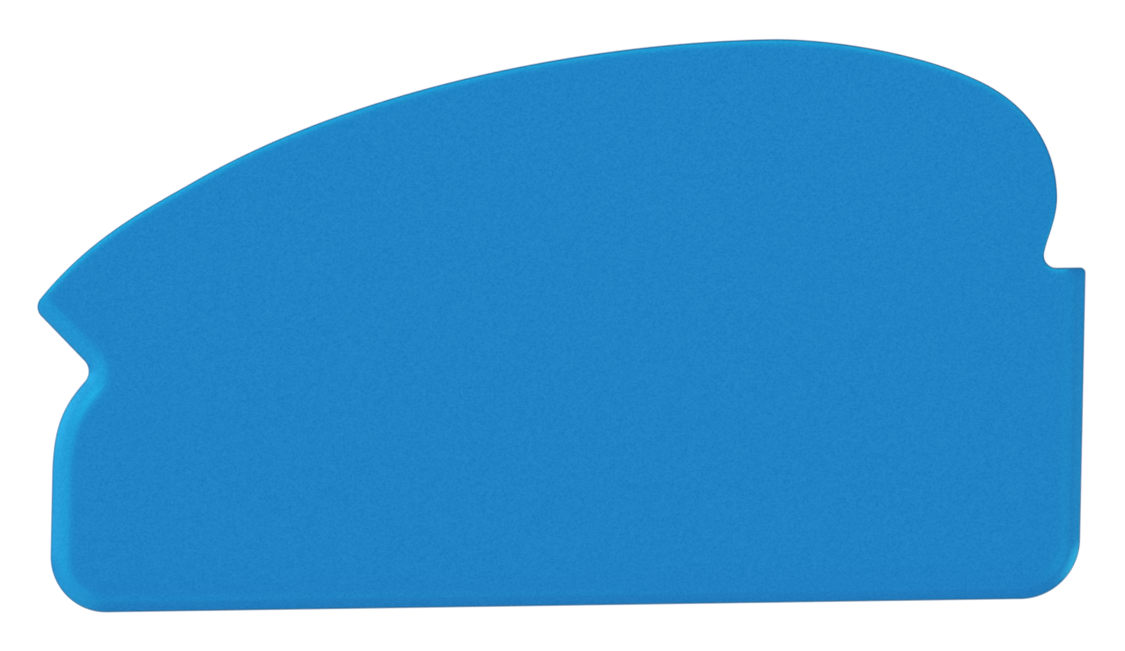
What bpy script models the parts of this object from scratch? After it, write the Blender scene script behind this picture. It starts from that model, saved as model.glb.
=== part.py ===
"""Flexible hand scraper: one moulded plastic blade, held by its curved back.

The blade lies on its flat rear face. The scraping edge runs along X on the -Y side, the curved
back that the palm pushes on faces +Y, and the bevelled front face looks up, along +Z. The origin
is in the middle of the blade's length and depth, on the rear face. Lengths are in metres.

The outline is drawn in plan from a datum corner: X runs from the pointed tip's left end, and Y
from the scraping edge.
"""

import math
from dataclasses import dataclass

import bmesh
import bpy
from mathutils import Vector

# Overall size
BLADE_LENGTH = 0.165
BLADE_DEPTH = 0.0887
BLADE_THICKNESS = 0.002

# Working edge: a bevel on the front face, from the tab round to the tip
BEVEL_WIDTH = 0.0028
EDGE_THICKNESS = 0.0007

# Rounded rims
FRONT_RIM_RADIUS = 0.0008
REAR_RIM_RADIUS = 0.0002

# Straight sides, which both lean towards the tab end
SIDE_LEAN = math.radians(2.0)
LEFT_SIDE_SETBACK = 0.0015
LEFT_CORNER_RADIUS = 0.0088
RIGHT_CORNER_RADIUS = 0.0096

# Square tab above the right side, and the finger step behind it
TAB_HEIGHT = 0.0521
TAB_REACH = 0.0065
TAB_CORNER_RADIUS = 0.0009
TAB_ROOT_RADIUS = 0.0019
NECK_SLOPE = math.radians(11.0)

# Pointed tip, and the notch below it
TIP_HEIGHT = 0.0482
TIP_RADIUS = 0.0021
TIP_SLOPE = math.radians(50.0)
NOTCH_DEPTH = 0.0079
NOTCH_DROP = 0.0102
NOTCH_RADIUS = 0.0024
NOTCH_LOWER_SLOPE = math.radians(48.0)

# Lower lobe: the bulge that leads from the left side up into the notch
LOBE_START_SHARE = 0.57
LOBE_LOWER_HANDLE_SHARE = 0.53
LOBE_UPPER_HANDLE_SHARE = 0.35

# Brow: the bend of the back above the tip, as shares of the run and rise from tip to crown
CROWN_SHARE = 0.705
BROW_RUN_SHARE = 0.217
BROW_RISE_SHARE = 0.484
BROW_SLOPE = math.radians(29.0)
TIP_HANDLE_SHARE = 0.109
BROW_LEFT_HANDLE_SHARE = 0.075
BROW_RIGHT_HANDLE_SHARE = 0.265
CROWN_LEFT_HANDLE_SHARE = 0.23

# Shoulder and heel: the back's round end, as shares of the run and drop from crown to heel
HEEL_SETBACK = 0.0043
HEEL_RISE_SHARE = 0.306
SHOULDER_RUN_SHARE = 0.744
SHOULDER_RISE_SHARE = 0.71
SHOULDER_SLOPE = math.radians(27.5)
CROWN_RIGHT_HANDLE_SHARE = 0.18
SHOULDER_LEFT_HANDLE_SHARE = 0.25
SHOULDER_RIGHT_HANDLE_SHARE = 0.24
HEEL_UPPER_HANDLE_SHARE = 0.373
HEEL_LOWER_HANDLE_SHARE = 0.32
NECK_HANDLE_SHARE = 0.22

# Modelling
CUT_OVERRUN = 0.0005
CURVE_STEPS = 14
RIM_SEGMENTS = 3
FLAT_ANGLE = math.radians(0.5)
SHARP_ANGLE = math.radians(30.0)
WELD_DISTANCE = 0.000002
WEIGHT_ATTRIBUTE = "bevel_weight_edge"

# Blue polypropylene with a fine matt finish, in linear colour
PLASTIC_COLOUR = (0.0152, 0.227, 0.552, 1.0)
PLASTIC_ROUGHNESS = 0.55


@dataclass
class Knot:
    """A point of the outline, with its curve handles, or None where a straight run meets it."""

    point: Vector
    before: Vector | None
    after: Vector | None


def heading(angle):
    """The unit vector in plan that points along an angle, measured from +X towards +Y."""
    return Vector((math.cos(angle), math.sin(angle)))


def arc(centre, radius, start, end):
    """The two knots of a circular arc that runs from one angle to another round its centre."""
    reach = 4 / 3 * math.tan((end - start) / 4) * radius
    first = centre + radius * heading(start)
    last = centre + radius * heading(end)
    leaving = heading(start + math.pi / 2)
    arriving = heading(end + math.pi / 2)
    return [
        Knot(first, None, first + reach * leaving),
        Knot(last, last - reach * arriving, None),
    ]


def bend(point, slope, left_handle, right_handle):
    """A knot that a curve passes through smoothly, going right along the slope."""
    along = heading(slope)
    return Knot(point, point - left_handle * along, point + right_handle * along)


def tab_corner():
    """The tab's outer corner, from its top to the right side."""
    inset = Vector((BLADE_LENGTH, TAB_HEIGHT)) - Vector((TAB_CORNER_RADIUS, TAB_CORNER_RADIUS))
    return arc(inset, TAB_CORNER_RADIUS, math.pi / 2, -SIDE_LEAN)


def right_corner():
    """The corner between the leaning right side and the scraping edge."""
    outward = heading(-SIDE_LEAN)
    side_distance = tab_corner()[1].point.dot(outward)
    height = RIGHT_CORNER_RADIUS
    across = (side_distance - RIGHT_CORNER_RADIUS - height * outward.y) / outward.x
    return arc(Vector((across, height)), RIGHT_CORNER_RADIUS, -SIDE_LEAN, -math.pi / 2)


def left_corner():
    """The corner between the scraping edge and the leaning left side."""
    centre = Vector((LEFT_SIDE_SETBACK + LEFT_CORNER_RADIUS, LEFT_CORNER_RADIUS))
    return arc(centre, LEFT_CORNER_RADIUS, -math.pi / 2, -math.pi - SIDE_LEAN)


def notch_and_tip():
    """The notch's round root, then the tip's round point, with the straight flank that joins them."""
    root = Vector((NOTCH_DEPTH - NOTCH_RADIUS, TIP_HEIGHT - NOTCH_DROP))
    point = Vector((TIP_RADIUS, TIP_HEIGHT))
    between = point - root
    apart = math.acos((NOTCH_RADIUS + TIP_RADIUS) / between.length)
    flank = math.atan2(between.y, between.x) - apart
    notch = arc(root, NOTCH_RADIUS, NOTCH_LOWER_SLOPE - math.pi / 2, flank)
    tip = arc(point, TIP_RADIUS, flank + math.pi, math.pi / 2 + TIP_SLOPE)
    return notch, tip


def lower_lobe():
    """The end of the straight left side, and the handle that brings the lobe into the notch."""
    side = left_corner()[1].point
    notch_start = notch_and_tip()[0][0].point
    up = heading(math.pi / 2 - SIDE_LEAN)
    start_height = (TIP_HEIGHT - NOTCH_DROP) * LOBE_START_SHARE
    start = side + up * (start_height - side.y) / up.y
    rise = notch_start.y - start_height
    lower_handle = start + up * rise * LOBE_LOWER_HANDLE_SHARE
    upper_handle = notch_start - heading(NOTCH_LOWER_SLOPE) * rise * LOBE_UPPER_HANDLE_SHARE
    return Knot(start, None, lower_handle), upper_handle


def back_curve():
    """The brow, crown, shoulder and heel of the curved back, from left to right."""
    crown_run = BLADE_LENGTH * CROWN_SHARE
    rise = BLADE_DEPTH - TIP_HEIGHT
    brow_place = Vector((crown_run * BROW_RUN_SHARE, TIP_HEIGHT + rise * BROW_RISE_SHARE))
    brow = bend(
        brow_place,
        BROW_SLOPE,
        crown_run * BROW_LEFT_HANDLE_SHARE,
        crown_run * BROW_RIGHT_HANDLE_SHARE,
    )
    heel_height = TAB_HEIGHT + (BLADE_DEPTH - TAB_HEIGHT) * HEEL_RISE_SHARE
    heel_place = Vector((BLADE_LENGTH - HEEL_SETBACK, heel_height))
    run = heel_place.x - crown_run
    drop = BLADE_DEPTH - heel_height
    crown = bend(
        Vector((crown_run, BLADE_DEPTH)),
        0,
        crown_run * CROWN_LEFT_HANDLE_SHARE,
        run * CROWN_RIGHT_HANDLE_SHARE,
    )
    shoulder_place = Vector(
        (crown_run + run * SHOULDER_RUN_SHARE, heel_height + drop * SHOULDER_RISE_SHARE)
    )
    shoulder = bend(
        shoulder_place,
        -SHOULDER_SLOPE,
        run * SHOULDER_LEFT_HANDLE_SHARE,
        drop * SHOULDER_RIGHT_HANDLE_SHARE,
    )
    heel = bend(
        heel_place,
        -math.pi / 2,
        drop * HEEL_UPPER_HANDLE_SHARE,
        (heel_height - TAB_HEIGHT) * HEEL_LOWER_HANDLE_SHARE,
    )
    return [brow, crown, shoulder, heel]


def tab_root():
    """The neck under the heel, and the round inner corner where the tab's top begins."""
    neck = BLADE_LENGTH - TAB_REACH
    centre = Vector((neck + TAB_ROOT_RADIUS, TAB_HEIGHT + TAB_ROOT_RADIUS))
    knots = arc(centre, TAB_ROOT_RADIUS, math.pi - NECK_SLOPE, 3 * math.pi / 2)
    heel = back_curve()[-1].point
    reach = (heel.y - TAB_HEIGHT) * NECK_HANDLE_SHARE
    knots[0].before = knots[0].point + heading(math.pi / 2 - NECK_SLOPE) * reach
    return knots


def working_edge():
    """The bevelled side of the outline: right side, scraping edge, left side, lobe and notch."""
    lobe_start, notch_handle = lower_lobe()
    notch, _ = notch_and_tip()
    notch[0].before = notch_handle
    return right_corner() + left_corner() + [lobe_start] + notch


def outline():
    """The whole outline, clockwise from the tab's outer corner."""
    _, tip = notch_and_tip()
    back = back_curve()
    reach = back[1].point.x * TIP_HANDLE_SHARE
    tip[1].after = tip[1].point + heading(TIP_SLOPE) * reach
    return tab_corner() + working_edge() + tip + back + tab_root()


def bevel_path():
    """The working edge run on past the tab's top and past the tip, so that the cut leaves both."""
    tab_end = tab_corner()[1].point
    tip_start = notch_and_tip()[1][0].point
    notch_end = working_edge()[-1].point
    up = heading(math.pi / 2 - SIDE_LEAN)
    flank = (tip_start - notch_end).normalized()
    above_tab = tab_end + up * (TAB_CORNER_RADIUS + CUT_OVERRUN)
    past_tip = tip_start + flank * (TIP_RADIUS + BEVEL_WIDTH)
    return [Knot(above_tab, None, None), *working_edge(), Knot(past_tip, None, None)]


def curve_through(name, knots, closed):
    """A flat Bezier curve through the knots, linked to the scene."""
    curve = bpy.data.curves.new(name, "CURVE")
    curve.dimensions = "2D"
    curve.resolution_u = CURVE_STEPS
    spline = curve.splines.new("BEZIER")
    spline.bezier_points.add(len(knots) - 1)
    spline.use_cyclic_u = closed
    for place, knot in zip(spline.bezier_points, knots):
        place.co = knot.point.to_3d()
        place.handle_left_type = "FREE" if knot.before else "VECTOR"
        place.handle_right_type = "FREE" if knot.after else "VECTOR"
        if knot.before:
            place.handle_left = knot.before.to_3d()
        if knot.after:
            place.handle_right = knot.after.to_3d()
    made = bpy.data.objects.new(name, curve)
    bpy.context.scene.collection.objects.link(made)
    return made


def mesh_from_curve(source, name, collection, parent):
    """The curve as a mesh object of its own, with its caps welded. The curve is removed."""
    graph = bpy.context.evaluated_depsgraph_get()
    mesh = bpy.data.meshes.new_from_object(source.evaluated_get(graph))
    made = bpy.data.objects.new(name, mesh)
    made.matrix_world = source.matrix_world
    made.parent = parent
    bpy.data.objects.remove(source)
    shape = bmesh.new()
    shape.from_mesh(mesh)
    bmesh.ops.remove_doubles(shape, verts=shape.verts, dist=WELD_DISTANCE)
    bmesh.ops.dissolve_limit(
        shape, angle_limit=FLAT_ANGLE, verts=shape.verts, edges=shape.edges, delimit=set()
    )
    bmesh.ops.recalc_face_normals(shape, faces=shape.faces)
    shape.to_mesh(mesh)
    shape.free()
    collection.objects.link(made)
    return made


def plastic():
    """Blue moulded plastic with a fine matt finish."""
    material = bpy.data.materials.new("blade_plastic")
    material.use_nodes = True
    shader = material.node_tree.nodes["Principled BSDF"]
    shader.inputs["Base Color"].default_value = PLASTIC_COLOUR
    shader.inputs["Roughness"].default_value = PLASTIC_ROUGHNESS
    shader.inputs["Metallic"].default_value = 0
    material.diffuse_color = PLASTIC_COLOUR
    return material


def round_rims(blade):
    """Weights the front and rear rims, and rounds each by its own radius."""
    mesh = blade.data
    weights = mesh.attributes.new(WEIGHT_ATTRIBUTE, "FLOAT", "EDGE").data
    rear_share = REAR_RIM_RADIUS / FRONT_RIM_RADIUS
    for edge in mesh.edges:
        heights = [mesh.vertices[index].co.z for index in edge.vertices]
        if min(heights) > 0:
            weights[edge.index].value = 1
        elif max(heights) < 0:
            weights[edge.index].value = rear_share
    rims = blade.modifiers.new("rims", "BEVEL")
    rims.limit_method = "WEIGHT"
    rims.edge_weight = WEIGHT_ATTRIBUTE
    rims.width = FRONT_RIM_RADIUS
    rims.segments = RIM_SEGMENTS


def bevel_profile():
    """The wedge that the bevel takes off, across the edge and up from the blade's mid-plane."""
    middle = BLADE_THICKNESS / 2
    slope = (BLADE_THICKNESS - EDGE_THICKNESS) / BEVEL_WIDTH
    low = EDGE_THICKNESS - CUT_OVERRUN * slope - middle
    high = middle + CUT_OVERRUN * slope
    corners = [
        Vector((-CUT_OVERRUN, low)),
        Vector((BEVEL_WIDTH + CUT_OVERRUN, high)),
        Vector((-CUT_OVERRUN, high)),
    ]
    knots = [Knot(corner, None, None) for corner in corners]
    return curve_through("bevel_profile", knots, closed=True)


def bevel_cutter(collection, parent):
    """The wedge swept along the working edge."""
    profile = bevel_profile()
    path = curve_through("bevel_path", bevel_path(), closed=False)
    path.data.bevel_mode = "OBJECT"
    path.data.bevel_object = profile
    path.data.use_fill_caps = True
    cutter = mesh_from_curve(path, "bevel_cutter", collection, parent)
    bpy.data.objects.remove(profile)
    cutter.hide_render = True
    cutter.display_type = "WIRE"
    return cutter


def scraper_blade(collection, cutters, parent):
    """The whole scraper: a flat plate with rounded rims and a bevel along its working edge."""
    flat = curve_through("scraper_outline", outline(), closed=True)
    flat.data.fill_mode = "BOTH"
    flat.data.extrude = BLADE_THICKNESS / 2
    blade = mesh_from_curve(flat, "scraper_blade", collection, parent)
    round_rims(blade)
    bevel = blade.modifiers.new("working_edge", "BOOLEAN")
    bevel.operation = "DIFFERENCE"
    bevel.solver = "EXACT"
    bevel.object = bevel_cutter(cutters, parent)
    weld = blade.modifiers.new("weld", "WELD")
    weld.merge_threshold = WELD_DISTANCE
    blade.data.shade_smooth()
    blade.data.set_sharp_from_angle(angle=SHARP_ANGLE)
    blade.data.materials.append(plastic())
    return blade


def main():
    """Builds the scraper in an empty scene."""
    for old in list(bpy.data.objects):
        bpy.data.objects.remove(old)
    scraper = bpy.data.collections.new("hand_scraper")
    cutters = bpy.data.collections.new("cutters")
    bpy.context.scene.collection.children.link(scraper)
    bpy.context.scene.collection.children.link(cutters)
    datum = bpy.data.objects.new("datum_corner", None)
    datum.location = (-BLADE_LENGTH / 2, -BLADE_DEPTH / 2, BLADE_THICKNESS / 2)
    scraper.objects.link(datum)
    scraper_blade(scraper, cutters, datum)


if __name__ == "__main__":
    main()
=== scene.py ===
"""Looks of the flexible hand scraper: its moulded shape, its matt blue plastic, light and camera.

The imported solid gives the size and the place. The blade is modelled again here as one closed mesh,
because its soft rim, its faired working edge and its drafted side wall need finer faces. Lengths
are in metres, in the frame's axes: X runs along the scraping edge towards the square tab, Y towards
the curved back that the palm pushes on, and Z out of the bevelled front face.
"""

import logging
import math
from dataclasses import dataclass, field
from enum import Enum

import bpy
import numpy as np
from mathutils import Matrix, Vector
from mathutils.geometry import delaunay_2d_cdt


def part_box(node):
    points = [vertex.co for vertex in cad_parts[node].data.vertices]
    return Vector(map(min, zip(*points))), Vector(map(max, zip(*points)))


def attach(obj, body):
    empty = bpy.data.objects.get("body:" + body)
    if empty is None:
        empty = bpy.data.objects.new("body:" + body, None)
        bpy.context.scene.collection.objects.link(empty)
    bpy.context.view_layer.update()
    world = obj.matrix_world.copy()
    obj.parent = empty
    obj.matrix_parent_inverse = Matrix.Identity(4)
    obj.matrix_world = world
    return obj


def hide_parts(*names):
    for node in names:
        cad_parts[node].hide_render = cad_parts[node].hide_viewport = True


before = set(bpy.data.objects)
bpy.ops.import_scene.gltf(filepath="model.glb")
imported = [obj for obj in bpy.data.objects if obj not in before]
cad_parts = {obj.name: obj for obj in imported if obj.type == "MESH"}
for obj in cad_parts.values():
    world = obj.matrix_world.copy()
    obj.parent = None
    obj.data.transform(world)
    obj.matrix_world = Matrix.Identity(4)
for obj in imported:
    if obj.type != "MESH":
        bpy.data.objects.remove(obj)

log = logging.getLogger("hand_scraper")

BLADE_NODE = "scraper_blade"
BLADE_BODY = "root"

Rgb = tuple[float, float, float]
Rgba = tuple[float, float, float, float]
Term = float | bpy.types.NodeSocket

WHITE: Rgba = (1.0, 1.0, 1.0, 1.0)


class Calc(Enum):
    """Operations of a Math node, under the names that Blender gives them."""

    ADD = "ADD"
    SUBTRACT = "SUBTRACT"
    MULTIPLY = "MULTIPLY"
    DIVIDE = "DIVIDE"
    POWER = "POWER"
    ROOT = "SQRT"
    LARGER = "MAXIMUM"
    SMALLER = "MINIMUM"


class SocketKind(Enum):
    """Kinds of input that a Geometry Nodes tree here has."""

    GEOMETRY = "NodeSocketGeometry"
    NUMBER = "NodeSocketFloat"
    OBJECT = "NodeSocketObject"
    MATERIAL = "NodeSocketMaterial"


def placed(name: str, data: bpy.types.ID) -> bpy.types.Object:
    """Puts an object into the scene, at the frame's origin.

    Args:
        name: The object's name.
        data: The mesh, lamp or camera that it holds.

    Returns:
        The object.
    """
    made = bpy.data.objects.new(name, data)
    bpy.context.scene.collection.objects.link(made)
    return made


@dataclass
class Knot:
    """A point of the outline, with its curve handles, or None where a straight run meets it."""

    point: Vector
    before: Vector | None = None
    after: Vector | None = None


def heading(angle: float) -> Vector:
    """The unit vector in plan that points along an angle, measured from +X towards +Y."""
    return Vector((math.cos(angle), math.sin(angle)))


def arc(centre: Vector, radius: float, start: float, end: float) -> list[Knot]:
    """Makes a circular arc.

    Args:
        centre: The arc's centre in plan.
        radius: Its radius.
        start: The angle that it starts at.
        end: The angle that it ends at, less than start for a clockwise arc.

    Returns:
        The arc's two knots.
    """
    # Handles of this length make the curve between the knots follow the circle.
    reach = 4 / 3 * math.tan((end - start) / 4) * radius
    first = centre + radius * heading(start)
    last = centre + radius * heading(end)
    leaving = heading(start + math.pi / 2)
    arriving = heading(end + math.pi / 2)
    return [
        Knot(first, None, first + reach * leaving),
        Knot(last, last - reach * arriving, None),
    ]


def bend(point: Vector, slope: float, left_handle: float, right_handle: float) -> Knot:
    """Makes a knot that a curve passes through smoothly, going right along a slope.

    Args:
        point: The knot's place.
        slope: The curve's slope there.
        left_handle: Length of the handle on the left.
        right_handle: Length of the handle on the right.

    Returns:
        The knot.
    """
    along = heading(slope)
    return Knot(point, point - left_handle * along, point + right_handle * along)


@dataclass
class PlanPath:
    """Points along a curve in plan, each with the unit vector square to it, into the plastic."""

    points: np.ndarray
    inward: np.ndarray
    closed: bool
    least_reach: float = 1e-9

    def inset(self, distance: float) -> np.ndarray:
        """The points moved square to the path, into the plastic, by a distance."""
        return self.points + self.inward * distance

    def room(self) -> np.ndarray:
        """Finds how far each point can move inwards before another stretch is nearer to it.

        Returns:
            The radius of the largest disc that touches the path at each point from inside.
        """
        widest = np.full(len(self.points), np.inf)
        for index, (point, inward) in enumerate(zip(self.points, self.inward)):
            away = self.points - point
            ahead = away @ inward
            facing = ahead > self.least_reach
            if facing.any():
                reach = (away[facing] ** 2).sum(1) / (2 * ahead[facing])
                widest[index] = reach.min()
        return widest


@dataclass
class Outline:
    """The scraper's outline in plan, drawn from a datum corner and centred on the frame's origin.

    The datum corner has X from the pointed tip's left end and Y from the scraping edge. The shares
    follow the run and rise from the tip to the crown of the back, and from the crown to the heel.
    """

    length: float
    depth: float
    side_lean: float = math.radians(2.0)
    left_side_setback: float = 0.0015
    left_corner_radius: float = 0.0088
    right_corner_radius: float = 0.0096
    tab_height: float = 0.0521
    tab_reach: float = 0.0065
    tab_corner_radius: float = 0.0009
    tab_root_radius: float = 0.0019
    neck_slope: float = math.radians(11.0)
    tip_height: float = 0.0482
    tip_radius: float = 0.0021
    tip_slope: float = math.radians(50.0)
    notch_depth: float = 0.0079
    notch_drop: float = 0.0102
    notch_radius: float = 0.0024
    notch_lower_slope: float = math.radians(48.0)
    lobe_start_share: float = 0.57
    lobe_lower_handle_share: float = 0.53
    lobe_upper_handle_share: float = 0.35
    crown_share: float = 0.705
    brow_run_share: float = 0.217
    brow_rise_share: float = 0.484
    brow_slope: float = math.radians(29.0)
    tip_handle_share: float = 0.109
    brow_left_handle_share: float = 0.075
    brow_right_handle_share: float = 0.265
    crown_left_handle_share: float = 0.23
    heel_setback: float = 0.0043
    heel_rise_share: float = 0.306
    shoulder_run_share: float = 0.744
    shoulder_rise_share: float = 0.71
    shoulder_slope: float = math.radians(27.5)
    crown_right_handle_share: float = 0.18
    shoulder_left_handle_share: float = 0.25
    shoulder_right_handle_share: float = 0.24
    heel_upper_handle_share: float = 0.373
    heel_lower_handle_share: float = 0.32
    neck_handle_share: float = 0.22
    overrun: float = 0.005
    longest_step: float = 0.0003
    chord_rise: float = 0.0000012
    least_tightness: float = 1e-9
    tries_per_run: int = 600

    @property
    def centre(self) -> Vector:
        """The middle of the outline's length and depth."""
        return Vector((self.length / 2, self.depth / 2))

    @property
    def up_the_side(self) -> Vector:
        """The direction of both leaning sides, away from the scraping edge."""
        return heading(math.pi / 2 - self.side_lean)

    def tab_corner(self) -> list[Knot]:
        """Rounds the tab's outer corner.

        Returns:
            The knots of the corner, from the tab's top to the right side.
        """
        radius = self.tab_corner_radius
        inset = Vector((self.length - radius, self.tab_height - radius))
        return arc(inset, radius, math.pi / 2, -self.side_lean)

    def right_corner(self) -> list[Knot]:
        """Rounds the corner between the leaning right side and the scraping edge.

        Returns:
            The knots of the corner, from the side to the edge.
        """
        radius = self.right_corner_radius
        outward = heading(-self.side_lean)
        side_distance = self.tab_corner()[1].point.dot(outward)
        across = (side_distance - radius - radius * outward.y) / outward.x
        return arc(Vector((across, radius)), radius, -self.side_lean, -math.pi / 2)

    def left_corner(self) -> list[Knot]:
        """Rounds the corner between the scraping edge and the leaning left side.

        Returns:
            The knots of the corner, from the edge to the side.
        """
        radius = self.left_corner_radius
        centre = Vector((self.left_side_setback + radius, radius))
        return arc(centre, radius, -math.pi / 2, -math.pi - self.side_lean)

    def notch_and_tip(self) -> tuple[list[Knot], list[Knot]]:
        """Finds the notch and the tip, which a straight flank joins.

        Returns:
            The knots of the notch's round root, and those of the tip's round point.
        """
        root = Vector((self.notch_depth - self.notch_radius, self.tip_height - self.notch_drop))
        point = Vector((self.tip_radius, self.tip_height))
        between = point - root
        apart = math.acos((self.notch_radius + self.tip_radius) / between.length)
        flank = math.atan2(between.y, between.x) - apart
        notch = arc(root, self.notch_radius, self.notch_lower_slope - math.pi / 2, flank)
        tip = arc(point, self.tip_radius, flank + math.pi, math.pi / 2 + self.tip_slope)
        return notch, tip

    def lower_lobe(self) -> tuple[Knot, Vector]:
        """Finds the bulge that leads from the straight left side up into the notch.

        Returns:
            The knot that ends the straight side, and the handle that enters the notch.
        """
        side = self.left_corner()[1].point
        notch_start = self.notch_and_tip()[0][0].point
        up = self.up_the_side
        start_height = (self.tip_height - self.notch_drop) * self.lobe_start_share
        start = side + up * (start_height - side.y) / up.y
        rise = notch_start.y - start_height
        lower_handle = start + up * rise * self.lobe_lower_handle_share
        slope = heading(self.notch_lower_slope)
        upper_handle = notch_start - slope * rise * self.lobe_upper_handle_share
        return Knot(start, None, lower_handle), upper_handle

    def back_curve(self) -> list[Knot]:
        """Draws the curved back.

        Returns:
            The knots of its brow, crown, shoulder and heel, from left to right.
        """
        crown_run = self.length * self.crown_share
        rise = self.depth - self.tip_height
        brow_height = self.tip_height + rise * self.brow_rise_share
        brow = bend(
            Vector((crown_run * self.brow_run_share, brow_height)),
            self.brow_slope,
            crown_run * self.brow_left_handle_share,
            crown_run * self.brow_right_handle_share,
        )
        heel_height = self.tab_height + (self.depth - self.tab_height) * self.heel_rise_share
        heel_place = Vector((self.length - self.heel_setback, heel_height))
        run = heel_place.x - crown_run
        drop = self.depth - heel_height
        crown = bend(
            Vector((crown_run, self.depth)),
            0,
            crown_run * self.crown_left_handle_share,
            run * self.crown_right_handle_share,
        )
        shoulder_height = heel_height + drop * self.shoulder_rise_share
        shoulder = bend(
            Vector((crown_run + run * self.shoulder_run_share, shoulder_height)),
            -self.shoulder_slope,
            run * self.shoulder_left_handle_share,
            drop * self.shoulder_right_handle_share,
        )
        heel = bend(
            heel_place,
            -math.pi / 2,
            drop * self.heel_upper_handle_share,
            (heel_height - self.tab_height) * self.heel_lower_handle_share,
        )
        return [brow, crown, shoulder, heel]

    def tab_root(self) -> list[Knot]:
        """Rounds the inner corner where the neck under the heel meets the tab's top.

        Returns:
            The knots of the corner, of which the first has the neck's handle.
        """
        radius = self.tab_root_radius
        centre = Vector((self.length - self.tab_reach + radius, self.tab_height + radius))
        knots = arc(centre, radius, math.pi - self.neck_slope, 3 * math.pi / 2)
        reach = (self.back_curve()[-1].point.y - self.tab_height) * self.neck_handle_share
        up_the_neck = heading(math.pi / 2 - self.neck_slope)
        knots[0].before = knots[0].point + up_the_neck * reach
        return knots

    def working_edge(self) -> list[Knot]:
        """Chains the bevelled side of the outline.

        Returns:
            The knots of the right side, the scraping edge, the left side, the lobe and the notch.
        """
        lobe_start, notch_handle = self.lower_lobe()
        notch, _ = self.notch_and_tip()
        notch[0].before = notch_handle
        return self.right_corner() + self.left_corner() + [lobe_start] + notch

    def held_side(self) -> list[Knot]:
        """Chains the side that the hand holds.

        Returns:
            The knots from the tip, over the back, to the tab's outer corner.
        """
        tip = self.notch_and_tip()[1][1]
        back = self.back_curve()
        reach = back[1].point.x * self.tip_handle_share
        tip.after = tip.point + heading(self.tip_slope) * reach
        return [tip, *back, *self.tab_root(), self.tab_corner()[0]]

    def whole(self) -> list[Knot]:
        """The whole outline, clockwise from the tab's outer corner."""
        tip_start = self.notch_and_tip()[1][0]
        return [*self.tab_corner(), *self.working_edge(), tip_start, *self.held_side()[:-1]]

    def faired_edge(self) -> list[Knot]:
        """Chains the path that the bevel follows, which overruns the outline at both ends.

        Returns:
            The working edge's knots, run on straight past the tab's top and past the tip.
        """
        above_tab = self.tab_corner()[1].point + self.up_the_side * self.overrun
        tip_start = self.notch_and_tip()[1][0].point
        flank = (tip_start - self.working_edge()[-1].point).normalized()
        return [Knot(above_tab), *self.working_edge(), Knot(tip_start + flank * self.overrun)]

    def run(self, first: Knot, last: Knot) -> tuple[np.ndarray, np.ndarray]:
        """Sets points along one run between two knots, closer together where it bends more.

        Args:
            first: The knot that the run leaves.
            last: The knot that it reaches, whose own point is left to the next run.

        Returns:
            The points, and the unit directions of travel there.
        """
        start, end = np.array(first.point), np.array(last.point)
        leave = start + (end - start) / 3 if first.after is None else np.array(first.after)
        reach = end + (start - end) / 3 if last.before is None else np.array(last.before)

        def place(t: np.ndarray) -> np.ndarray:
            """Places on the run at shares t."""
            s = 1 - t
            return s**3 * start + 3 * s**2 * t * leave + 3 * s * t**2 * reach + t**3 * end

        def speed(t: np.ndarray) -> np.ndarray:
            """Rates of travel at shares t."""
            s = 1 - t
            return 3 * (s**2 * (leave - start) + 2 * s * t * (reach - leave) + t**2 * (end - reach))

        tries = np.linspace(0, 1, self.tries_per_run)[:, None]
        rate = speed(tries)
        pace = np.linalg.norm(rate, axis=1)
        first_turn, last_turn = reach - 2 * leave + start, end - 2 * reach + leave
        turning = 6 * ((1 - tries) * first_turn + tries * last_turn)
        crossed = np.abs(rate[:, 0] * turning[:, 1] - rate[:, 1] * turning[:, 0])
        tightness = crossed / pace**3
        # A chord across a bend rises by an eighth of the tightness times its length squared.
        step = np.sqrt(8 * self.chord_rise / np.maximum(tightness, self.least_tightness))
        density = pace / np.minimum(step, self.longest_step)
        width = 1 / (self.tries_per_run - 1)
        count = np.concatenate([[0], np.cumsum((density[1:] + density[:-1]) / 2 * width)])
        steps = math.ceil(count[-1])
        shares = np.interp(np.arange(steps) / steps * count[-1], count, tries[:, 0])[:, None]
        direction = speed(shares)
        return place(shares), direction / np.linalg.norm(direction, axis=1)[:, None]

    def path(self, knots: list[Knot], closed: bool) -> PlanPath:
        """Sets points along a chain of knots, which goes clockwise round the plastic.

        Args:
            knots: The chain, measured from the datum corner.
            closed: Whether the last knot leads back to the first.

        Returns:
            The path, measured from the frame's origin.
        """
        pairs = list(zip(knots, knots[1:] + knots[:1]))
        if not closed:
            pairs.pop()
        runs = [self.run(first, last) for first, last in pairs]
        points = np.concatenate([points for points, _ in runs])
        directions = np.concatenate([directions for _, directions in runs])
        inward = np.stack([directions[:, 1], -directions[:, 0]], axis=1)
        return PlanPath(points - np.array(self.centre), inward, closed)


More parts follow.
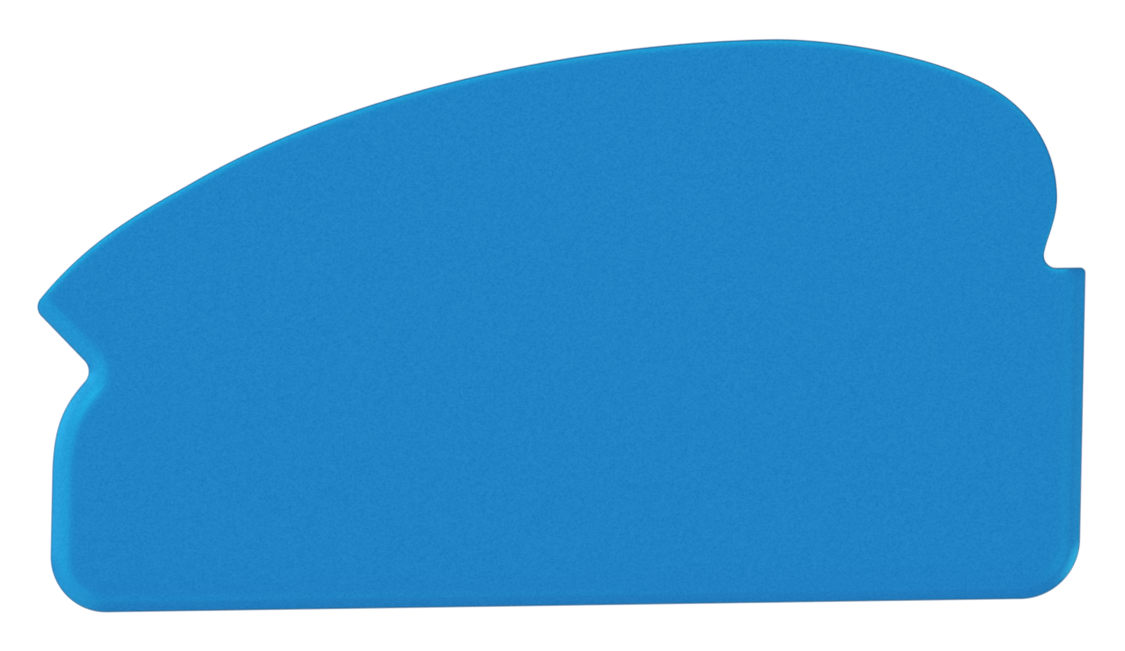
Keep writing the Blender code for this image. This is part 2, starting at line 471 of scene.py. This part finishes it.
@dataclass
class Blank:
    """The flat blank that the height rule raises: a front sheet, a side wall and a rear sheet.

    Each point carries the share of the moulded height that it takes: 1 on the front sheet, 0 on
    the rear sheet and its rim, and more and more up the side wall.
    """

    path: PlanPath
    draft: float
    rear_rim_radius: float
    rings: int = 30
    ring_reach: float = 0.0038
    ring_spread: float = 2.1
    room_share: float = 0.93
    rim_steps: int = 4
    wall_steps: int = 4
    interior_step: float = 0.006
    interior_gap_share: float = 0.25
    weld: float = 1e-7
    lift_attribute: str = "lift"
    corners: list[tuple[float, float, float]] = field(default_factory=list)
    lifts: list[float] = field(default_factory=list)
    faces: list[tuple[int, ...]] = field(default_factory=list)

    def ring_insets(self) -> np.ndarray:
        """Distances of the front rings from the outline, packed closely near the rim."""
        shares = np.arange(self.rings + 1) / self.rings
        return self.draft + self.ring_reach * shares**self.ring_spread

    def inside(self, places: np.ndarray) -> np.ndarray:
        """Tells which places lie inside the outline.

        Args:
            places: Places in plan.

        Returns:
            True for each place that lies inside.
        """
        start = self.path.points
        end = np.roll(start, -1, axis=0)
        x, y = places[:, :1], places[:, 1:]
        spans = (start[:, 1] > y) != (end[:, 1] > y)
        rise = np.where(end[:, 1] == start[:, 1], 1, end[:, 1] - start[:, 1])
        crossing = start[:, 0] + (y - start[:, 1]) / rise * (end[:, 0] - start[:, 0])
        return (spans & (x < crossing)).sum(axis=1) % 2 == 1

    def interior(self) -> np.ndarray:
        """Scatters sparse places over the flat middle.

        Returns:
            The places, all clear of the rings.
        """
        low, high = self.path.points.min(axis=0), self.path.points.max(axis=0)
        columns = np.arange(low[0], high[0], self.interior_step)
        rows = np.arange(low[1], high[1], self.interior_step)
        places = np.stack(np.meshgrid(columns, rows), axis=-1).reshape(-1, 2)
        places = places[self.inside(places)]
        gaps = np.linalg.norm(places[:, None] - self.path.points[None], axis=2).min(axis=1)
        clear = self.ring_insets()[-1] + self.interior_step * self.interior_gap_share
        return places[gaps > clear]

    def sheet(self, insets: np.ndarray) -> tuple[list[Vector], list[tuple[int, int, int]]]:
        """Fills the outline with triangles that follow rings along it.

        Args:
            insets: The rings' distances from the outline, the outermost first.

        Returns:
            The places, of which the outermost ring is first, and the triangles.
        """
        room = self.path.room() * self.room_share
        count = len(self.path.points)
        places: list[np.ndarray] = []
        edges: list[tuple[int, int]] = []
        for order, inset in enumerate(insets):
            ring = self.path.inset(inset)
            kept = np.ones(count, bool) if order == 0 else room > inset
            numbers = np.cumsum(kept) - 1 + len(places)
            follows = np.roll(np.arange(count), -1)
            for index in np.flatnonzero(kept & kept[follows]):
                edges.append((int(numbers[index]), int(numbers[follows[index]])))
            places.extend(ring[kept])
        places.extend(self.interior())
        flat = [Vector(place) for place in places]
        # This kind of fill keeps only the triangles inside the outermost ring.
        inside_edges = 1
        made = delaunay_2d_cdt(flat, edges, [], inside_edges, self.weld)
        return made[0], [tuple(face) for face in made[2]]

    def add_sheet(self, insets: np.ndarray, lift: float, faces_up: bool) -> None:
        """Adds a filled sheet.

        Args:
            insets: The rings' distances from the outline, the outermost first.
            lift: The share of the moulded height that the sheet takes.
            faces_up: Whether it faces the front.
        """
        places, triangles = self.sheet(insets)
        base = len(self.corners)
        self.corners.extend((place.x, place.y, 0.0) for place in places)
        self.lifts.extend([lift] * len(places))
        for a, b, c in triangles:
            left_turn = (places[b] - places[a]).cross(places[c] - places[a]) > 0
            order = (a, b, c) if left_turn == faces_up else (a, c, b)
            self.faces.append(tuple(base + corner for corner in order))

    def add_wall(self) -> None:
        """Adds the rows between the two sheets: up the rear rim, then up the drafted side."""
        radius = self.rear_rim_radius
        turns = [math.pi / 2 * step / self.rim_steps for step in range(self.rim_steps + 1)]
        rows = [(radius * (1 - math.sin(t)), radius * (1 - math.cos(t)), 0.0) for t in turns]
        for step in range(1, self.wall_steps + 1):
            share = step / self.wall_steps
            rows.append((self.draft * share, radius * (1 - share), share))
        count = len(self.path.points)
        base = len(self.corners)
        for inset, height, lift in rows:
            self.corners.extend((x, y, height) for x, y in self.path.inset(inset))
            self.lifts.extend([lift] * count)
        for row in range(len(rows) - 1):
            for index in range(count):
                after = (index + 1) % count
                low = base + row * count
                high = low + count
                self.faces.append((low + index, high + index, high + after, low + after))

    def mesh(self, name: str) -> bpy.types.Mesh:
        """Makes the blank.

        Args:
            name: The mesh's name.

        Returns:
            One closed mesh, with the lift of each point as an attribute.
        """
        self.add_sheet(self.ring_insets(), lift=1.0, faces_up=True)
        self.add_sheet(np.array([self.rear_rim_radius]), lift=0.0, faces_up=False)
        self.add_wall()
        made = bpy.data.meshes.new(name)
        made.from_pydata(self.corners, [], self.faces)
        lift = made.attributes.new(self.lift_attribute, "FLOAT", "POINT")
        lift.data.foreach_set("value", self.lifts)
        return made


@dataclass
class HeightRule:
    """The moulded height of the front, as a Geometry Nodes tree over the flat blank.

    The front drops away from its flat level by a rule of three distances: to the held side, which
    gives the soft rim, to the working edge, which gives the faired bevel, and to the outline, which
    gives the small radius at the top of the side wall. That radius and the top of the wall carry an
    attribute, the painted shade line, where the finish paints shade into the colour: a darker line
    round the outline, as the photo shows it, that stands in for the shade at the edge.
    """

    thickness: float
    draft: float
    rim_width: float = 0.00213
    rim_drop: float = 0.00017
    rim_power: float = 4.109
    bevel_slope: float = 0.242
    bevel_width: float = 0.00242
    fairing_width: float = 0.00282
    fairing_power: float = 3.997
    curl_width: float = 0.00163
    curl_drop: float = 0.00044
    curl_power: float = 1.279
    land_radius: float = 0.00012
    # The line of painted shade at the edge: its width, and the share of the wall's height where it
    # starts.
    line_width: float = 0.00025
    line_foot_share: float = 0.75
    line_attribute: str = "edge_line"
    weld: float = 2e-7
    tree: bpy.types.NodeTree | None = None
    sockets: dict[str, bpy.types.NodeSocket] = field(default_factory=dict)
    identifiers: dict[str, str] = field(default_factory=dict)

    def calc(self, step: Calc, *terms: Term) -> bpy.types.NodeSocket:
        """Adds a Math node.

        Args:
            step: The operation.
            *terms: Its operands, numbers or sockets.

        Returns:
            The node's result.
        """
        node = self.tree.nodes.new("ShaderNodeMath")
        node.operation = step.value
        for socket, term in zip(node.inputs, terms):
            if isinstance(term, bpy.types.NodeSocket):
                self.tree.links.new(term, socket)
            else:
                socket.default_value = term
        return node.outputs["Value"]

    def left(self, gap: Term, width: Term) -> bpy.types.NodeSocket:
        """The share of a width that is left at a gap: 1 at its start, 0 at its end and beyond."""
        rest = self.calc(Calc.SUBTRACT, 1.0, self.calc(Calc.DIVIDE, gap, width))
        return self.calc(Calc.SMALLER, self.calc(Calc.LARGER, rest, 0.0), 1.0)

    def gap_to(self, wire: str) -> bpy.types.NodeSocket:
        """Adds the distance from each point to a wire, less the draft of the side wall.

        Args:
            wire: The name of the input that holds the wire.

        Returns:
            The distance, zero on the side wall.
        """
        info = self.tree.nodes.new("GeometryNodeObjectInfo")
        near = self.tree.nodes.new("GeometryNodeProximity")
        near.target_element = "EDGES"
        self.tree.links.new(self.sockets[wire], info.inputs["Object"])
        self.tree.links.new(info.outputs["Geometry"], near.inputs["Geometry"])
        self.tree.links.new(self.plan_place(), near.inputs["Sample Position"])
        apart = self.calc(Calc.SUBTRACT, near.outputs["Distance"], self.sockets["Draft"])
        return self.calc(Calc.LARGER, apart, 0.0)

    def plan_place(self) -> bpy.types.NodeSocket:
        """Adds each point's place in plan.

        Returns:
            The place, at height zero.
        """
        place = self.tree.nodes.new("GeometryNodeInputPosition")
        flatten = self.tree.nodes.new("ShaderNodeVectorMath")
        flatten.operation = "MULTIPLY"
        flatten.inputs[1].default_value = (1, 1, 0)
        self.tree.links.new(place.outputs["Position"], flatten.inputs[0])
        return flatten.outputs["Vector"]

    def eased(self, gap: Term, feature: str) -> bpy.types.NodeSocket:
        """Adds the easing of a feature that runs out to nothing over its width.

        Args:
            gap: The distance from where the feature starts.
            feature: The feature's name, as its inputs give it.

        Returns:
            The share of the feature's drop that is left, by its own power.
        """
        left = self.left(gap, self.sockets[f"{feature} width"])
        return self.calc(Calc.POWER, left, self.sockets[f"{feature} power"])

    def rim(self, gap: bpy.types.NodeSocket) -> bpy.types.NodeSocket:
        """The drop of the soft rim at a distance from the held side."""
        return self.calc(Calc.MULTIPLY, self.sockets["Rim drop"], self.eased(gap, "Rim"))

    def bevel(self, gap: bpy.types.NodeSocket) -> bpy.types.NodeSocket:
        """Adds the bevel: its straight slope, its fairing into the face and its curl at the edge.

        Args:
            gap: The distance from the working edge.

        Returns:
            The bevel's drop.
        """
        width = self.sockets["Bevel width"]
        straight = self.calc(Calc.LARGER, self.calc(Calc.SUBTRACT, width, gap), 0.0)
        past = self.calc(Calc.LARGER, self.calc(Calc.SUBTRACT, gap, width), 0.0)
        fairing = self.sockets["Fairing width"]
        reach = self.calc(Calc.DIVIDE, fairing, self.sockets["Fairing power"])
        faired = self.calc(Calc.MULTIPLY, reach, self.eased(past, "Fairing"))
        run = self.calc(Calc.ADD, straight, faired)
        slope = self.calc(Calc.MULTIPLY, self.sockets["Bevel slope"], run)
        curl = self.calc(Calc.MULTIPLY, self.sockets["Curl drop"], self.eased(gap, "Curl"))
        return self.calc(Calc.ADD, slope, curl)

    def land(self, gap: bpy.types.NodeSocket) -> bpy.types.NodeSocket:
        """Adds the small radius that turns the front down into the side wall.

        Args:
            gap: The distance from the outline.

        Returns:
            The radius's drop.
        """
        radius = self.sockets["Land radius"]
        left = self.left(gap, radius)
        squared = self.calc(Calc.MULTIPLY, left, left)
        level = self.calc(Calc.ROOT, self.calc(Calc.SUBTRACT, 1.0, squared))
        return self.calc(Calc.MULTIPLY, radius, self.calc(Calc.SUBTRACT, 1.0, level))

    def front_height(self, gap: bpy.types.NodeSocket) -> bpy.types.NodeSocket:
        """The front's height: its flat level, less the drops of the rim, the bevel and the land.

        Args:
            gap: The distance from the outline.

        Returns:
            The height over the rear face.
        """
        rim = self.rim(self.gap_to("Held side wire"))
        bevel = self.bevel(self.gap_to("Working edge wire"))
        drop = self.calc(Calc.ADD, self.calc(Calc.ADD, rim, bevel), self.land(gap))
        return self.calc(Calc.SUBTRACT, self.sockets["Thickness"], drop)

    def edge_line(
        self, gap: bpy.types.NodeSocket, lift: bpy.types.NodeSocket
    ) -> bpy.types.NodeSocket:
        """The strength of the painted shade line: 1 at the top of the side wall, and less away from
        it.

        Args:
            gap: The distance from the outline.
            lift: The share of the moulded height that a point takes.

        Returns:
            The line's strength, 0 on the rear face, down the wall and inside the line's width.
        """
        foot = self.sockets["Line foot share"]
        below = self.calc(Calc.SUBTRACT, 1.0, lift)
        near = self.left(gap, self.sockets["Line width"])
        high = self.left(below, self.calc(Calc.SUBTRACT, 1.0, foot))
        return self.calc(Calc.MULTIPLY, high, near)

    def add_input(self, name: str, kind: SocketKind) -> None:
        """Adds a named input, and keeps its identifier."""
        made = self.tree.interface.new_socket(name, in_out="INPUT", socket_type=kind.value)
        self.identifiers[name] = made.identifier

    def build(self, lift_attribute: str) -> None:
        """Builds the tree.

        Args:
            lift_attribute: The attribute that holds each point's share of the height.
        """
        self.tree = bpy.data.node_groups.new("moulded_height", "GeometryNodeTree")
        self.add_input("Blank", SocketKind.GEOMETRY)
        for name in ("Outline wire", "Working edge wire", "Held side wire"):
            self.add_input(name, SocketKind.OBJECT)
        for name in self.sizes():
            self.add_input(name, SocketKind.NUMBER)
        self.add_input("Plastic", SocketKind.MATERIAL)
        self.tree.interface.new_socket(
            "Blade", in_out="OUTPUT", socket_type=SocketKind.GEOMETRY.value
        )
        entry = self.tree.nodes.new("NodeGroupInput")
        self.sockets = {socket.name: socket for socket in entry.outputs if socket.name}
        lift = self.tree.nodes.new("GeometryNodeInputNamedAttribute")
        lift.data_type = "FLOAT"
        lift.inputs["Name"].default_value = lift_attribute
        gap = self.gap_to("Outline wire")
        rise = self.calc(Calc.MULTIPLY, lift.outputs["Attribute"], self.front_height(gap))
        keep = self.tree.nodes.new("GeometryNodeStoreNamedAttribute")
        keep.data_type = "FLOAT"
        keep.domain = "POINT"
        keep.inputs["Name"].default_value = self.line_attribute
        offset = self.tree.nodes.new("ShaderNodeCombineXYZ")
        shift = self.tree.nodes.new("GeometryNodeSetPosition")
        merge = self.tree.nodes.new("GeometryNodeMergeByDistance")
        realize = self.tree.nodes.new("GeometryNodeRealizeInstances")
        dress = self.tree.nodes.new("GeometryNodeSetMaterial")
        leave = self.tree.nodes.new("NodeGroupOutput")
        for source, target in (
            (self.sockets["Blank"], keep.inputs["Geometry"]),
            (self.edge_line(gap, lift.outputs["Attribute"]), keep.inputs["Value"]),
            (keep.outputs["Geometry"], shift.inputs["Geometry"]),
            (rise, offset.inputs["Z"]),
            (offset.outputs["Vector"], shift.inputs["Offset"]),
            (shift.outputs["Geometry"], merge.inputs["Geometry"]),
            (self.sockets["Weld"], merge.inputs["Distance"]),
            (merge.outputs["Geometry"], realize.inputs["Geometry"]),
            (realize.outputs["Geometry"], dress.inputs["Geometry"]),
            (self.sockets["Plastic"], dress.inputs["Material"]),
            (dress.outputs["Geometry"], leave.inputs["Blade"]),
        ):
            self.tree.links.new(source, target)

    def sizes(self) -> dict[str, float]:
        """The tree's named sizes: each number that the rule holds, such as Rim width."""
        numbers = {name: size for name, size in vars(self).items() if isinstance(size, float)}
        return {name.replace("_", " ").capitalize(): size for name, size in numbers.items()}

    def apply(
        self,
        blank: bpy.types.Object,
        wires: dict[str, bpy.types.Object],
        plastic: bpy.types.Material,
    ) -> bpy.types.Mesh:
        """Runs the tree on the blank.

        Args:
            blank: The flat blank.
            wires: The wires that distances are measured from, by the name of their input.
            plastic: The finished blade's material.

        Returns:
            The moulded blade as a plain mesh.
        """
        modifier = blank.modifiers.new("moulded_height", "NODES")
        modifier.node_group = self.tree
        for name, value in {**wires, "Plastic": plastic, **self.sizes()}.items():
            modifier[self.identifiers[name]] = value
        graph = bpy.context.evaluated_depsgraph_get()
        made = bpy.data.meshes.new_from_object(blank.evaluated_get(graph), depsgraph=graph)
        blank.modifiers.remove(modifier)
        return made


@dataclass(frozen=True)
class MattPlastic:
    """Blue polypropylene with the fine grain of a spark-eroded mould and a soft sheen.

    The speckle is the share by which each colour swings with the grain. The gloss has no red,
    because the photo's highlights have no more of it than the flat face.
    """

    colour: Rgb = (0.0150, 0.194, 0.528)
    speckle: Rgb = (0.92, 0.34, 0.155)
    # Painted shade: the colour is multiplied by this on the line round the top of the side wall.
    painted_edge_shade: Rgb = (0.45, 0.48, 0.46)
    grain_size: float = 0.0003333
    grain_start_share: float = 0.3333
    grain_detail: float = 3.0
    grain_depth: float = 0.000010
    roughness: float = 0.305
    roughness_spread: float = 0.03
    gloss: float = 0.95
    gloss_tint: Rgb = (0.0, 1.0, 1.0)
    refraction: float = 1.49

    def shade(self, swing: float) -> Rgba:
        """The plastic's colour in the grain's pits, at a swing of -1, or on its peaks, at 1."""
        mixed = (part * (1 + swing * share) for part, share in zip(self.colour, self.speckle))
        return (*mixed, 1.0)

    def grain(self, tree: bpy.types.NodeTree) -> bpy.types.NodeSocket:
        """Adds the grain, as noise of a real size.

        The noise is flat on planes a grain apart, so it is raised by a share of a grain, which
        keeps the front and rear faces off those planes in every octave.

        Args:
            tree: The material's tree.

        Returns:
            The grain's height, from 0 to 1.
        """
        place = tree.nodes.new("ShaderNodeTexCoord").outputs["Object"]
        raised = tree.nodes.new("ShaderNodeMapping")
        raised.inputs["Location"].default_value[2] = self.grain_size * self.grain_start_share
        node = tree.nodes.new("ShaderNodeTexNoise")
        node.inputs["Scale"].default_value = 1 / self.grain_size
        node.inputs["Detail"].default_value = self.grain_detail
        tree.links.new(place, raised.inputs["Vector"])
        tree.links.new(raised.outputs["Vector"], node.inputs["Vector"])
        return node.outputs["Fac"]

    def mixed(
        self,
        tree: bpy.types.NodeTree,
        share: bpy.types.NodeSocket,
        first: bpy.types.NodeSocket | Rgba,
        second: Rgba,
        multiply: bool = False,
    ) -> bpy.types.NodeSocket:
        """Adds a mix of two colours.

        Args:
            tree: The material's tree.
            share: How much of the second colour there is, from 0 to 1.
            first: The first colour, or the socket that gives it.
            second: The second colour.
            multiply: Whether the second colour tints the first, and doesn't replace it.

        Returns:
            The mixed colour.
        """
        mix = tree.nodes.new("ShaderNodeMix")
        mix.data_type = "RGBA"
        mix.blend_type = "MULTIPLY" if multiply else "MIX"
        colours = [socket for socket in mix.inputs if socket.type == "RGBA"]
        if isinstance(first, bpy.types.NodeSocket):
            tree.links.new(first, colours[0])
        else:
            colours[0].default_value = first
        colours[1].default_value = second
        tree.links.new(share, mix.inputs["Factor"])
        return next(socket for socket in mix.outputs if socket.type == "RGBA")

    def speckled(
        self, tree: bpy.types.NodeTree, grain: bpy.types.NodeSocket, line_attribute: str
    ) -> bpy.types.NodeSocket:
        """Adds a colour that swings round the plastic's own with the grain, with shade painted in at
        the edge.

        Args:
            tree: The material's tree.
            grain: The grain's height, from 0 to 1.
            line_attribute: The attribute that is 1 on the line of painted shade at the edge.

        Returns:
            The colour.
        """
        speckled = self.mixed(tree, grain, self.shade(-1), self.shade(1))
        line = tree.nodes.new("ShaderNodeAttribute")
        line.attribute_name = line_attribute
        # Painted shade, multiplied into the colour along the top of the side wall.
        darker = (*self.painted_edge_shade, 1.0)
        return self.mixed(tree, line.outputs["Fac"], speckled, darker, multiply=True)

    def make(self, line_attribute: str) -> bpy.types.Material:
        """Makes the material.

        Args:
            line_attribute: The attribute that is 1 on the line of painted shade at the edge.

        Returns:
            The material, which follows Object coordinates.
        """
        material = bpy.data.materials.new("matt_blue_plastic")
        material.use_nodes = True
        tree = material.node_tree
        shader = tree.nodes["Principled BSDF"]
        grain = self.grain(tree)
        tree.links.new(self.speckled(tree, grain, line_attribute), shader.inputs["Base Color"])
        rough = tree.nodes.new("ShaderNodeMapRange")
        rough.inputs["To Min"].default_value = self.roughness - self.roughness_spread
        rough.inputs["To Max"].default_value = self.roughness + self.roughness_spread
        tree.links.new(grain, rough.inputs["Value"])
        tree.links.new(rough.outputs["Result"], shader.inputs["Roughness"])
        bump = tree.nodes.new("ShaderNodeBump")
        bump.inputs["Distance"].default_value = self.grain_depth
        tree.links.new(grain, bump.inputs["Height"])
        tree.links.new(bump.outputs["Normal"], shader.inputs["Normal"])
        shader.inputs["Specular IOR Level"].default_value = self.gloss
        shader.inputs["Specular Tint"].default_value = (*self.gloss_tint, 1.0)
        shader.inputs["IOR"].default_value = self.refraction
        return material


@dataclass
class ScraperBlade:
    """The whole scraper: one moulded blade with a soft rim, a faired bevel and a flat rear."""

    draft: float = 0.00012
    rear_rim_radius: float = 0.0002
    finish: MattPlastic = MattPlastic()

    def wire(self, name: str, path: PlanPath) -> bpy.types.Object:
        """Makes edges along a path, for the height rule to measure from.

        Args:
            name: The wire's name.
            path: The path that it follows.

        Returns:
            The wire, linked to the scene.
        """
        count = len(path.points)
        last = count if path.closed else count - 1
        mesh = bpy.data.meshes.new(name)
        corners = [(x, y, 0) for x, y in path.points]
        mesh.from_pydata(corners, [(index, (index + 1) % count) for index in range(last)], [])
        return placed(name, mesh)

    def build(self) -> bpy.types.Object:
        """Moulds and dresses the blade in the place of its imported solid.

        Returns:
            The blade, at the frame's origin.
        """
        low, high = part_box(BLADE_NODE)
        outline = Outline(length=high.x - low.x, depth=high.y - low.y)
        whole = outline.path(outline.whole(), closed=True)
        faired = outline.path(outline.faired_edge(), closed=False)
        held = outline.path(outline.held_side(), closed=False)
        blank = Blank(whole, self.draft, self.rear_rim_radius)
        blade = placed("moulded_blade", blank.mesh("moulded_blade"))
        rule = HeightRule(thickness=high.z - low.z, draft=self.draft)
        rule.build(blank.lift_attribute)
        wires = {
            "Outline wire": self.wire("outline_wire", whole),
            "Working edge wire": self.wire("edge_wire", faired),
            "Held side wire": self.wire("held_wire", held),
        }
        blade.data = rule.apply(blade, wires, self.finish.make(rule.line_attribute))
        blade.data.shade_smooth()
        for wire in wires.values():
            bpy.data.objects.remove(wire)
        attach(blade, BLADE_BODY)
        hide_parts(BLADE_NODE)
        return blade


@dataclass(frozen=True)
class Softbox:
    """A square white lamp that looks at the blade, with both its angles in degrees."""

    name: str
    azimuth: float
    elevation: float
    distance: float
    side: float
    power: float

    def build(self) -> None:
        """Hangs the lamp, with its azimuth measured from +X towards +Y."""
        data = bpy.data.lights.new(self.name, "AREA")
        data.shape = "SQUARE"
        data.size = self.side
        data.energy = self.power
        lamp = placed(self.name, data)
        elevation = math.radians(self.elevation)
        level = heading(math.radians(self.azimuth)) * math.cos(elevation)
        towards = Vector((level.x, level.y, math.sin(elevation)))
        lamp.location = towards * self.distance
        lamp.rotation_euler = towards.to_track_quat("Z", "Y").to_euler()


@dataclass(frozen=True)
class WhiteTable:
    """A white floor that shows as plain white, but for a little of the blade's shadow."""

    side: float = 6.0
    gap: float = 0.00005
    reflectance: float = 0.8
    glow_share: float = 0.93
    glow: float = 1.04

    def finish(self) -> bpy.types.Material:
        """Makes the floor's material.

        Returns:
            Matt white, which the camera and mirrors see mostly as an even glow.
        """
        material = bpy.data.materials.new("white_table")
        material.use_nodes = True
        tree = material.node_tree
        tree.nodes.remove(tree.nodes["Principled BSDF"])
        paint = tree.nodes.new("ShaderNodeBsdfDiffuse")
        paint.inputs["Color"].default_value = (self.reflectance,) * 3 + (1.0,)
        glow = tree.nodes.new("ShaderNodeEmission")
        glow.inputs["Strength"].default_value = self.glow
        share = tree.nodes.new("ShaderNodeMath")
        share.operation = Calc.MULTIPLY.value
        share.inputs[1].default_value = self.glow_share
        mix = tree.nodes.new("ShaderNodeMixShader")
        tree.links.new(seen_rays(tree), share.inputs[0])
        tree.links.new(share.outputs["Value"], mix.inputs["Fac"])
        tree.links.new(paint.outputs["BSDF"], mix.inputs[1])
        tree.links.new(glow.outputs["Emission"], mix.inputs[2])
        tree.links.new(mix.outputs["Shader"], tree.nodes["Material Output"].inputs["Surface"])
        return material

    def build(self) -> None:
        """Lays the floor just under the blade's rear face."""
        half = self.side / 2
        corners = [(-half, -half), (half, -half), (half, half), (-half, half)]
        mesh = bpy.data.meshes.new("white_table")
        mesh.from_pydata([(x, y, -self.gap) for x, y in corners], [], [(0, 1, 2, 3)])
        mesh.materials.append(self.finish())
        placed("white_table", mesh)


def seen_rays(tree: bpy.types.NodeTree) -> bpy.types.NodeSocket:
    """Adds the test for rays that show a background: camera, glossy and transmission rays.

    Args:
        tree: The tree that it goes in.

    Returns:
        1 for such a ray, and 0 for any other.
    """
    rays = tree.nodes.new("ShaderNodeLightPath").outputs
    seen = rays["Is Camera Ray"]
    for kind in ("Is Glossy Ray", "Is Transmission Ray"):
        either = tree.nodes.new("ShaderNodeMath")
        either.operation = Calc.LARGER.value
        tree.links.new(seen, either.inputs[0])
        tree.links.new(rays[kind], either.inputs[1])
        seen = either.outputs["Value"]
    return seen


@dataclass(frozen=True)
class Studio:
    """Plain soft studio light, a white floor and a white surround.

    The two low lamps keep clear of what the flat face mirrors in low views from a corner.
    """

    dome: float = 0.12
    surround: float = 1.0
    table: WhiteTable = WhiteTable()
    lamps: tuple[Softbox, ...] = (
        Softbox("key", azimuth=159, elevation=42.2, distance=5.0, side=4.89, power=118.4),
        Softbox("low_left", azimuth=158, elevation=16.0, distance=5.0, side=2.8, power=69.0),
        Softbox("back_fill", azimuth=129, elevation=62.5, distance=5.0, side=2.18, power=41.3),
        Softbox("left_fill", azimuth=225, elevation=42.7, distance=5.0, side=4.39, power=83.3),
        Softbox("right_fill", azimuth=335, elevation=62.3, distance=2.4, side=0.89, power=3.8),
        Softbox("low_right", azimuth=336, elevation=13.8, distance=2.4, side=1.27, power=29.9),
        Softbox("back_right", azimuth=68, elevation=64.4, distance=5.0, side=1.92, power=38.2),
    )

    def surround_light(self) -> None:
        """Makes the world: an even dome of light, which the camera sees as white."""
        world = bpy.data.worlds.new("white_surround")
        world.use_nodes = True
        tree = world.node_tree
        dome = tree.nodes["Background"]
        dome.inputs["Color"].default_value = WHITE
        dome.inputs["Strength"].default_value = self.dome
        white = tree.nodes.new("ShaderNodeBackground")
        white.inputs["Color"].default_value = WHITE
        white.inputs["Strength"].default_value = self.surround
        rays = tree.nodes.new("ShaderNodeLightPath").outputs
        mix = tree.nodes.new("ShaderNodeMixShader")
        tree.links.new(rays["Is Camera Ray"], mix.inputs["Fac"])
        tree.links.new(dome.outputs["Background"], mix.inputs[1])
        tree.links.new(white.outputs["Background"], mix.inputs[2])
        tree.links.new(mix.outputs["Shader"], tree.nodes["World Output"].inputs["Surface"])
        bpy.context.scene.world = world

    def build(self) -> None:
        """Sets up the light and the floor."""
        self.surround_light()
        self.table.build()
        for lamp in self.lamps:
            lamp.build()
            log.info("lamp %s", lamp.name)


@dataclass(frozen=True)
class ProductCamera:
    """Looks straight down on the blade, turned a little so that the edge climbs to the right."""

    height: float = 2.0
    view_width: float = 0.17697
    roll: float = math.radians(0.83)
    aim_across: float = 0.000077
    aim_along: float = -0.000244
    sensor_width: float = 36.0
    nearest: float = 0.05
    farthest: float = 20.0

    def build(self, outline_height: float) -> None:
        """Makes the scene's camera.

        Args:
            outline_height: The height over the floor at which the blade is widest.
        """
        data = bpy.data.cameras.new("product_camera")
        data.sensor_fit = "HORIZONTAL"
        data.sensor_width = self.sensor_width
        data.lens = self.sensor_width * self.height / self.view_width
        data.clip_start = self.nearest
        data.clip_end = self.farthest
        camera = placed("product_camera", data)
        camera.location = (self.aim_across, self.aim_along, outline_height + self.height)
        camera.rotation_euler = (0, 0, -self.roll)
        bpy.context.scene.camera = camera


def main() -> None:
    """Builds the blade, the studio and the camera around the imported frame."""
    logging.basicConfig(level=logging.INFO, format="%(name)s: %(message)s")
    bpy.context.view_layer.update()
    scraper = ScraperBlade()
    blade = scraper.build()
    log.info("%s: %d faces, for %s", blade.name, len(blade.data.polygons), BLADE_NODE)
    Studio().build()
    ProductCamera().build(scraper.rear_rim_radius)
    bpy.context.scene.view_settings.view_transform = "Standard"


if __name__ == "__main__":
    main()
